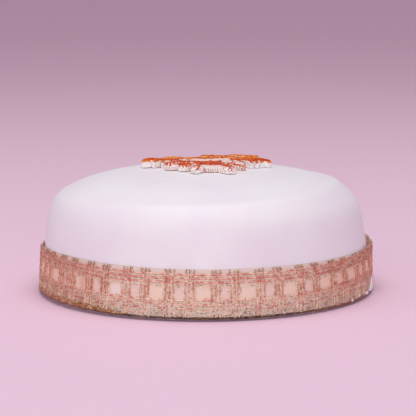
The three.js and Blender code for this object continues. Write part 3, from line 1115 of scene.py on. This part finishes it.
def crowding(x, y, behind=0.0, cell=0.5, spread=1.7, size=256):
    """How much of the neighbourhood of each place is filled: the places marked on a grid,
    blurred with a bell by Fourier transform and read back, here or a way behind. It is
    near 1 in the middle of a broad form, a half at a straight wall, more in a corner and
    less at a tip."""
    column = np.clip(np.round(x / cell).astype(int) + size // 2, 0, size - 1)
    row = np.clip(np.round(y / cell).astype(int) + size // 2, 0, size - 1)
    mask = np.zeros((size, size))
    mask[row, column] = 1.0
    step = np.fft.fftfreq(size)
    far = step[:, None] ** 2 + step[None, :] ** 2
    blur = np.exp(-2.0 * (math.pi * spread / cell) ** 2 * far)
    blurred = np.fft.ifft2(np.fft.fft2(mask) * blur).real
    return blurred[np.clip(row + round(behind / cell), 0, size - 1), column]


def crown_height(far):
    """The height of the cake's crown at a distance from its axis, by the formula of the
    upper part with the mean of the two sides' values, which is the front's."""
    shape = side_shape(math.pi / 2.0)
    a = np.arccos(np.clip(far / shape["radius"], 0.0, 1.0) ** (shape["crown_power"] / 2.0))
    return SPRING + (CROWN - SPRING) * np.sin(a) ** (2.0 / shape["shoulder_power"])


def rebuilt_plaque(settings):
    """The plain solid of the same outline with lobes of run paste added, as one new mesh:
    its surface is rebuilt in even cells and smoothed, which rounds the cut edges."""
    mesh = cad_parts["snowflake_topper"].data.copy()
    work = bmesh.new()
    work.from_mesh(mesh)
    bmesh.ops.remove_doubles(work, verts=work.verts, dist=0.02 * MM)
    points, quads, tris = lobe_solids()
    added = bpy.data.meshes.new("lobes")
    added.from_pydata((points * MM).tolist(), [], quads.tolist() + tris.tolist())
    work.from_mesh(added)
    work.to_mesh(mesh)
    work.free()
    bpy.data.meshes.remove(added)
    form = bpy.data.objects.new("form", mesh)
    bpy.context.scene.collection.objects.link(form)
    remesh = form.modifiers.new("Remesh", "REMESH")
    remesh.mode = "VOXEL"
    remesh.voxel_size = settings.cell
    ease = form.modifiers.new("Smooth", "SMOOTH")
    ease.factor = 0.5
    ease.iterations = 8
    graph = bpy.context.evaluated_depsgraph_get()
    built = bpy.data.meshes.new_from_object(form.evaluated_get(graph))
    bpy.data.objects.remove(form)
    bpy.data.meshes.remove(mesh)
    return built


def read_vectors(mesh, name):
    """One vector for each point of a mesh."""
    flat = np.empty(len(mesh.vertices) * 3, np.float32)
    mesh.vertices.foreach_get(name, flat)
    return flat.reshape(-1, 3).astype(float)


def shorten_petal(points):
    """Pulls in the petal that points away on the left: what lies beyond 13 mm from the
    middle keeps 0.55 of that distance, by smooth steps of its heading. Gives x, y and the
    distance from the middle."""
    x, y = points[:, 0] - SNOWFLAKE_X, points[:, 1] - SNOWFLAKE_Y
    far = np.hypot(x, y)
    heading = np.degrees(np.arctan2(y, x))
    short = smooth_step(heading, 99.0, 106.0) * smooth_fall(heading, 125.0, 131.0)
    pull = 1.0 - short * 0.45 * np.maximum(far - 13.0, 0.0) / np.maximum(far, 1.0)
    x, y = x * pull, y * pull
    points[:, 0], points[:, 1] = x + SNOWFLAKE_X, y + SNOWFLAKE_Y
    return x, y, far * pull


def plaque_fields(x, y, far, z):
    """What the relief and the dust both go by, at each point of the plaque:
    share is its height between the underside and the top, and full its crowding.
    along, aside, turn and reach are its place among the barbs, whose turn is uneven.
    wave is 1 in a gap between barbs and -1 on a barb, and gap is where the gaps are.
    outer is 1 beyond the core, and front 1 in front of it.
    ahead is how far it lies in front of the line along which the front half lies lower:
    a parabola that turns into a straight line on the right. ends is 1 along that line.
    roll is 1 at the rims. fine is the narrow ribbing of the front wall, uneven how much
    the ribs differ, middle the front arm's own wall, and comb where the ribbing shows."""
    share = np.clip((z + sag_at(far) - PLAQUE_FOOT) / PLAQUE_THICK, 0.0, 1.0)
    full = crowding(x, y)
    along, aside, turn, reach = barb_field(x, y)
    turn = turn + 0.22 * slow_waves(x / 5.0, y / 5.0, seed=24)
    wave = np.cos(TURN * turn)
    outer = smooth_step(along, 9.0, 11.0)
    front = smooth_fall(y, -9.0, -2.0)
    gap = smooth_step(wave, 0.1, 0.7) * smooth_step(aside, 0.9, 1.7) * outer
    bend = 2.0 + 4.0 * (np.minimum(x, 10.0) / 14.0) ** 2
    ahead = np.where(x < 10.0, bend, 4.0 - 1.5 * (x - 10.0)) - y
    ends = smooth_step(x, -19.0, -13.0) * smooth_fall(x, 26.0, 30.0)
    roll = 1.0 - smooth_step(full, 0.45, 0.8)
    uneven = 0.65 + 0.9 * slow_waves(x / 2.5, y / 2.5, seed=25)
    fine = np.abs(np.sin(math.pi * (x / 1.45 + 0.6 * (share - 0.5) + 0.5 * uneven)))
    middle = bell((x - 3.0) / 6.5) ** 2 * front * smooth_fall(y, -17.0, -12.0)
    comb = np.maximum(middle, 0.5 * front)
    return SimpleNamespace(
        x=x, y=y, share=share, full=full, along=along, aside=aside, turn=turn, reach=reach,
        wave=wave, outer=outer, front=front, gap=gap, ahead=ahead, ends=ends, roll=roll,
        uneven=uneven, fine=fine, middle=middle, comb=comb,
    )


def press_plaque(points, normal, at, groove):
    """The relief, put into the points. The top loses a hollow in front of the line, a roll
    along the rims, and the gaps and the veins, and gains slow waves and three bells. The
    walls are pushed out and in by ribs: the barbs' ends, as sines of the turn that lean
    with the height, and in front the fine ribbing. The underside is bedded on the crown,
    which falls away below it. Gives the ribs."""
    x, y, share = at.x, at.y, at.share
    top = smooth_step(share, 0.45, 0.95)
    vein = bell(at.aside / 0.6) * at.outer * smooth_step(at.reach - at.along, 1.0, 3.0)
    hollow = smooth_step(at.ahead, 0.0, 0.9) * (1.0 - 0.75 * smooth_step(at.ahead, 3.0, 18.0))
    pressed = (1.1 + 0.9 * at.front) * at.gap + 0.7 * vein
    points[:, 2] -= top * (1.1 * hollow * at.ends + 0.9 * at.roll + groove * pressed)
    points[:, 2] += top * 0.4 * slow_waves(x / 6.0, y / 6.0, seed=21)
    lumps = 1.1 * bell((x + 34.0) / 8.0) + 0.8 * bell((x - 31.0) / 7.0)
    lumps = lumps + 0.8 * bell(np.hypot(x - 24.0, y - 19.0) / 7.0)
    points[:, 2] += top * lumps

    wall = 1.0 - np.abs(normal[:, 2])
    lean = at.turn + 0.35 * (share - 0.5) * np.sign(x - 2.0)
    fingers = 0.6 * np.abs(np.sin(math.pi * lean)) + 0.4 * np.abs(np.sin(TURN * lean))
    ribs = 1.1 * (fingers - 0.62) * at.uneven * at.outer * (0.45 + 0.55 * at.front) * wall
    ribs = ribs * (1.0 - at.middle) + (at.fine - 0.64) * at.comb * wall
    points[:, :2] += ribs[:, None] * normal[:, :2]

    bed = 1.0 - smooth_step(share, 0.1, 0.45)
    crown = crown_height(np.hypot(points[:, 0], points[:, 1]))
    above = points[:, 2] - share * PLAQUE_THICK - crown
    points[:, 2] -= bed * np.maximum(above - 0.05, 0.0)
    return ribs


def plaque_dust(normal, at, ribs):
    """The shares of dust, rim and corner at each point. Dust lies where the surface faces
    up and runs over the barbs' tips. It misses the gaps, a broken line behind the step, a
    notch, the front arm's end, the front corners and a few streaks, less where it is
    thick. The rim is a painted highlight, for light glancing off the lustre: the rolled
    edge at the back and slow streaks of shine. Corners are partly dust and partly
    painted shade: the crowded places and the dips between ribs that have no dust, more
    in the lower wall and less at the sides."""
    x, y, share = at.x, at.y, at.share
    waves = slow_waves(x / 3.0, y / 3.0, seed=22)
    patch = slow_waves(x / 3.2, y / 3.2, seed=23, waves=7, most=4)
    over = smooth_step(np.abs(x), 22.0, 28.0)
    facing = normal[:, 2] - 0.22 * at.wave * at.outer * (1.0 - 0.6 * over) + 0.25 * waves
    dust = smooth_step(facing + 0.25 * over, 0.3, 0.6)
    low = 0.1 * over - 0.12 * at.wave * at.outer * (1.0 - over)
    beside = smooth_step(np.hypot(x - 2.0, y + 12.0), 8.0, 13.0)
    low = low - 0.2 * at.front * beside * (1.0 - over)
    dust = dust * smooth_step(share + low, 0.52, 0.72)

    thick = bell((x - 1.0) / 15.0) * bell((y + 15.5) / 6.0) ** 2
    step = smooth_step(at.ahead, -0.3, 0.1) * smooth_fall(at.ahead, 0.7, 1.2) * at.ends
    breaks = slow_waves(x / 3.0, y / 4.0, seed=27) + 0.6 * waves
    step = step * (0.15 + 0.85 * smooth_step(breaks, -0.36, -0.12))
    notch = bell(np.hypot((x - 12.0) / 2.6, y / 6.0) ** 2)
    bare = smooth_fall(y, -23.5, -21.0) * smooth_fall(np.abs(x - 3.0), 5.5, 6.5)
    skirt = smooth_step(-y - 0.25 * np.abs(x - 2.0), 22.5, 26.0)
    skirt = skirt * smooth_step(at.wave, -0.7, -0.3) * smooth_step(at.aside, 0.5, 1.2)
    between = (0.5 + 0.45 * at.front) * at.gap * smooth_step(at.along, 13.0, 17.0)
    streaks = 0.6 * smooth_step(patch, 0.26, 0.46) * at.outer * at.front
    miss = np.maximum.reduce(
        [between * (1.0 - 0.7 * over), step, notch, 0.9 * bare, 0.95 * skirt, streaks]
    )
    dust = dust * (1.0 - miss * (1.0 - 0.8 * smooth_step(thick, 0.3, 0.6)))
    dust = dust * (0.8 + 0.2 * thick)

    # Painted highlight: slow streaks of shine and the rolled rims at the back are given gold, for
    # light glancing off the lustre.
    painted_shine = slow_waves(x / 5.0, y / 3.4, seed=26) + 0.3 * patch
    painted_shine = 0.85 * smooth_step(painted_shine, -0.16, 0.24) * smooth_step(y, 2.0, 12.0)
    rear = 1.0 - smooth_step(crowding(x, y, behind=2.5), 0.25, 0.6)
    rim = np.maximum(at.roll * smooth_step(y, -6.0, 4.0), painted_shine)
    rim = np.maximum(rim, 0.9 * rear * smooth_step(y, 0.0, 5.0))

    # Corners: dust caught in the crowded places, and painted shade in the recesses: the dips
    # between ribs, the lower wall and a spot at the front right.
    corner_dust_and_shade = np.maximum(smooth_step(at.full, 0.62, 0.85), smooth_step(-ribs, 0.04, 0.2))
    corner_dust_and_shade = np.maximum(corner_dust_and_shade, at.comb * smooth_step(0.85 - at.fine, 0.0, 0.35))
    corner_dust_and_shade = corner_dust_and_shade * (1.0 - 0.6 * smooth_step(share, 0.5, 0.85))
    corner_dust_and_shade = corner_dust_and_shade * (1.0 - over * np.where(x > 0.0, 0.85, 0.5))
    corner_dust_and_shade = np.maximum(corner_dust_and_shade, bell(np.hypot(x - 24.6, y + 16.5) / 3.6)) * (1.0 - dust)
    return np.stack([dust, rim, corner_dust_and_shade, np.ones(len(x))], -1)


def snowflake_mesh(settings):
    """The plaque: rebuilt from the plain solid and the lobes, one petal shortened, the
    relief put in, and the shares of dust stored as its tint."""
    built = rebuilt_plaque(settings)
    points = read_vectors(built, "co") / MM
    x, y, far = shorten_petal(points)
    at = plaque_fields(x, y, far, points[:, 2])
    ribs = press_plaque(points, read_vectors(built, "normal"), at, settings.groove / MM)
    built.vertices.foreach_set("co", (points * MM).astype(np.float32).ravel())
    built.update()
    put_tint(built, plaque_dust(read_vectors(built, "normal"), at, ribs))
    return built


# ------------------------------------------------------------------------ operators


class CAKE_OT_iced_cake(bpy.types.Operator):
    """Build the cake under its smooth white sugarpaste"""

    bl_idname = "christmas_cake.iced_cake"
    bl_label = "Iced cake"

    def execute(self, context):
        settings = context.scene.christmas_cake
        points, quads, tris = iced_cake_surface(settings)
        material = icing_material(settings)
        piece = put_piece("sugarpaste_cake", points, quads, tris, material)
        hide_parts("iced_cake")
        return {"FINISHED"}


class CAKE_OT_ribbon(bpy.types.Operator):
    """Build the plaid ribbon: its sheer cloth, its threads and its glitter"""

    bl_idname = "christmas_cake.ribbon"
    bl_label = "Plaid ribbon"

    def execute(self, context):
        settings = context.scene.christmas_ribbon
        draw = np.random.default_rng(31)
        points, quads, uv = ribbon_cloth_surface(settings)
        cloth = put_piece(
            "ribbon_cloth", points, quads, None, cloth_material(settings), uv=uv
        )
        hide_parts("ribbon")

        gold_tone, copper_tone = tuple(settings.infill), tuple(settings.copper)
        brown_tone = tuple(settings.brown)
        beads = (tone(212, 108, 110), tuple(settings.rose), tone(250, 202, 188))
        # The rose threads' painted flank shade.
        deep = tone(194, 88, 78)
        rose = thread_material("rose thread", *beads, rest=gold_tone, side=deep)
        faint = thread_material(
            "faint rose thread", *beads, rest=gold_tone, sink=0.43, side=deep
        )
        copper = thread_material(
            "copper thread", tone(184, 112, 92), copper_tone, tone(250, 216, 196),
            ends=(gold_tone, brown_tone),
        )
        gold = thread_material(
            "gold thread", tone(222, 176, 150), gold_tone, tone(255, 246, 230),
            # Its side colour is a painted flank shade.
            side=tone(232, 170, 134),
        )
        # The edge threads and the fringe: brown, made darker as a painted shadow under the ribbon.
        brown = thread_material(
            "brown edge thread with painted shadow", tone(52, 34, 26), brown_tone, tone(150, 112, 84)
        )
        worn = thread_material(
            "worn gold thread", tone(92, 60, 34), tone(186, 134, 84), tone(244, 218, 172)
        )

        def add(name, paths, size, material, sides=5):
            points, quads, tris, uv = tubes(paths, size, sides)
            put_piece(name, points, quads, tris, material, uv=uv)

        radius = settings.thread_radius / MM
        lines = length_threads(settings, ROSE_ROWS, draw, 0.08)
        add("ribbon_lines", lines, radius, rose, 6)
        lines = length_threads(settings, FAINT_ROWS, draw, 0.08)
        add("ribbon_low_lines", lines, radius, faint, 6)
        paths, thickness = cross_threads(settings, draw)
        add("ribbon_cross_threads", paths, radius * thickness, copper, 6)
        add("ribbon_gold_lines", length_threads(settings, GOLD_ROWS, draw, -0.1), 0.3, gold)
        add("ribbon_gold_threads", infill_threads(settings, draw), 0.26, gold)
        edges = length_threads(settings, EDGE_ROWS, draw, 0.1, wander=0.1)
        add("ribbon_edges", edges, radius, brown)
        add("ribbon_worn_rows", worn_rows(settings, draw), 0.36, worn)
        add("ribbon_fringe", fringe_loops(settings, draw), 0.2, brown, 4)
        points, tris, tint = flakes(settings, draw, settings.flakes)
        put_piece("ribbon_glitter", points, None, tris, flake_material(), tint=tint)
        return {"FINISHED"}


class CAKE_OT_smears(bpy.types.Operator):
    """Build the smears of icing left on the foot of the ribbon"""

    bl_idname = "christmas_cake.smears"
    bl_label = "Smears of icing"

    def execute(self, context):
        points, quads, tris = smear_surfaces(context.scene.christmas_ribbon)
        material = icing_material(context.scene.christmas_cake)
        put_piece("icing_smears", points, quads, tris, material)
        return {"FINISHED"}


class CAKE_OT_snowflake(bpy.types.Operator):
    """Build the snowflake of icing dusted with copper lustre"""

    bl_idname = "christmas_cake.snowflake"
    bl_label = "Snowflake"

    def execute(self, context):
        settings = context.scene.christmas_snowflake
        mesh = snowflake_mesh(settings)
        piece = put_mesh("dusted_snowflake", mesh, snowflake_material(settings))
        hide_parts("snowflake_topper")
        return {"FINISHED"}


class CAKE_OT_stage(bpy.types.Operator):
    """Set the plain floor, the soft lights and the camera"""

    bl_idname = "christmas_cake.stage"
    bl_label = "Stage"

    def execute(self, context):
        settings = context.scene.christmas_stage
        self.floor(context.scene, settings)
        self.surround(context.scene, settings)
        for name, place, size, watts in (
            ("overhead", (0.0, -0.1, 1.5), 1.4, settings.overhead_power),
            ("front", (0.0, -1.8, 0.35), 0.8, settings.front_power),
            ("side", (-1.5, -0.6, 0.7), 1.0, settings.side_power),
        ):
            self.lamp(context.scene, name, place, size, watts, settings.lamp[:3])
        self.camera(context.scene, settings)
        return {"FINISHED"}

    def floor(self, scene, settings):
        """A wide disc of paper just under the cake's foot."""
        sides = 96
        reach = 9000.0
        below = -0.05
        j = np.arange(sides)
        theta = j / sides * TURN
        flat = np.full(sides, below)
        rim = np.stack([reach * np.cos(theta), reach * np.sin(theta), flat], -1)
        points = np.concatenate([rim, [[0.0, 0.0, below]]])
        tris = np.stack([np.full(sides, sides), j, (j + 1) % sides], -1)
        paper = Sheet("plain floor")
        soft = paper.mix(paper.noise(300.0, 2.0), tuple(settings.floor), tone(243, 210, 227))
        paper.shade(Base_Color=soft, Roughness=0.7, Specular_IOR_Level=0.2)
        mesh = bpy.data.meshes.new("floor")
        mesh.from_pydata((points * MM).tolist(), [], tris.tolist())
        mesh.materials.append(paper.material)
        floor = bpy.data.objects.new("floor", mesh)
        scene.collection.objects.link(floor)

    def surround(self, scene, settings):
        """Even light from all around."""
        world = bpy.data.worlds.new("surround")
        world.use_nodes = True
        back = world.node_tree.nodes["Background"]
        back.inputs["Color"].default_value = tuple(settings.surround)
        back.inputs["Strength"].default_value = settings.surround_strength
        scene.world = world
        scene.view_settings.view_transform = "Standard"

    def lamp(self, scene, name, place, size, watts, shade):
        """A soft round light that faces the cake."""
        lamp = bpy.data.lights.new(name, "AREA")
        lamp.shape = "DISK"
        lamp.size = size
        lamp.energy = watts
        lamp.color = shade
        holder = bpy.data.objects.new(name, lamp)
        aim = Vector((0.0, 0.0, 0.05)) - Vector(place)
        turn = aim.to_track_quat("-Z", "Y").to_matrix().to_4x4()
        holder.matrix_world = Matrix.Translation(place) @ turn
        scene.collection.objects.link(holder)

    def camera(self, scene, settings):
        """The camera, in front of the cake and a little above it."""
        eye = bpy.data.cameras.new("camera")
        eye.lens = settings.lens
        eye.sensor_width = 36.0
        holder = bpy.data.objects.new("camera", eye)
        tilt = Matrix.Rotation(math.pi / 2 - CAMERA_DOWN, 4, "X")
        roll = Matrix.Rotation(CAMERA_ROLL, 4, "Z")
        holder.matrix_world = Matrix.Translation(CAMERA_PLACE) @ tilt @ roll
        scene.collection.objects.link(holder)
        scene.camera = holder


class CAKE_PT_panel(bpy.types.Panel):
    """Buttons that build the cake piece by piece"""

    bl_idname = "CAKE_PT_panel"
    bl_label = "Christmas cake"
    bl_space_type = "VIEW_3D"
    bl_region_type = "UI"
    bl_category = "Christmas cake"

    def draw(self, context):
        for operator in OPERATORS:
            self.layout.operator(operator.bl_idname)
        for name in GROUPS:
            box = self.layout.box()
            settings = getattr(context.scene, name)
            for key in settings.__annotations__:
                box.prop(settings, key)


OPERATORS = [CAKE_OT_iced_cake, CAKE_OT_ribbon, CAKE_OT_smears, CAKE_OT_snowflake, CAKE_OT_stage]
GROUPS = {
    "christmas_cake": CakeSettings,
    "christmas_ribbon": RibbonSettings,
    "christmas_snowflake": SnowflakeSettings,
    "christmas_stage": StageSettings,
}


def register():
    for group in GROUPS.values():
        bpy.utils.register_class(group)
    for operator in OPERATORS:
        bpy.utils.register_class(operator)
    bpy.utils.register_class(CAKE_PT_panel)
    for name, group in GROUPS.items():
        setattr(bpy.types.Scene, name, PointerProperty(type=group))


def unregister():
    for name in GROUPS:
        delattr(bpy.types.Scene, name)
    bpy.utils.unregister_class(CAKE_PT_panel)
    for operator in reversed(OPERATORS):
        bpy.utils.unregister_class(operator)
    for group in reversed(GROUPS.values()):
        bpy.utils.unregister_class(group)


def main():
    register()
    bpy.ops.christmas_cake.iced_cake()
    bpy.ops.christmas_cake.ribbon()
    bpy.ops.christmas_cake.smears()
    bpy.ops.christmas_cake.snowflake()
    bpy.ops.christmas_cake.stage()


if __name__ == "__main__":
    main()
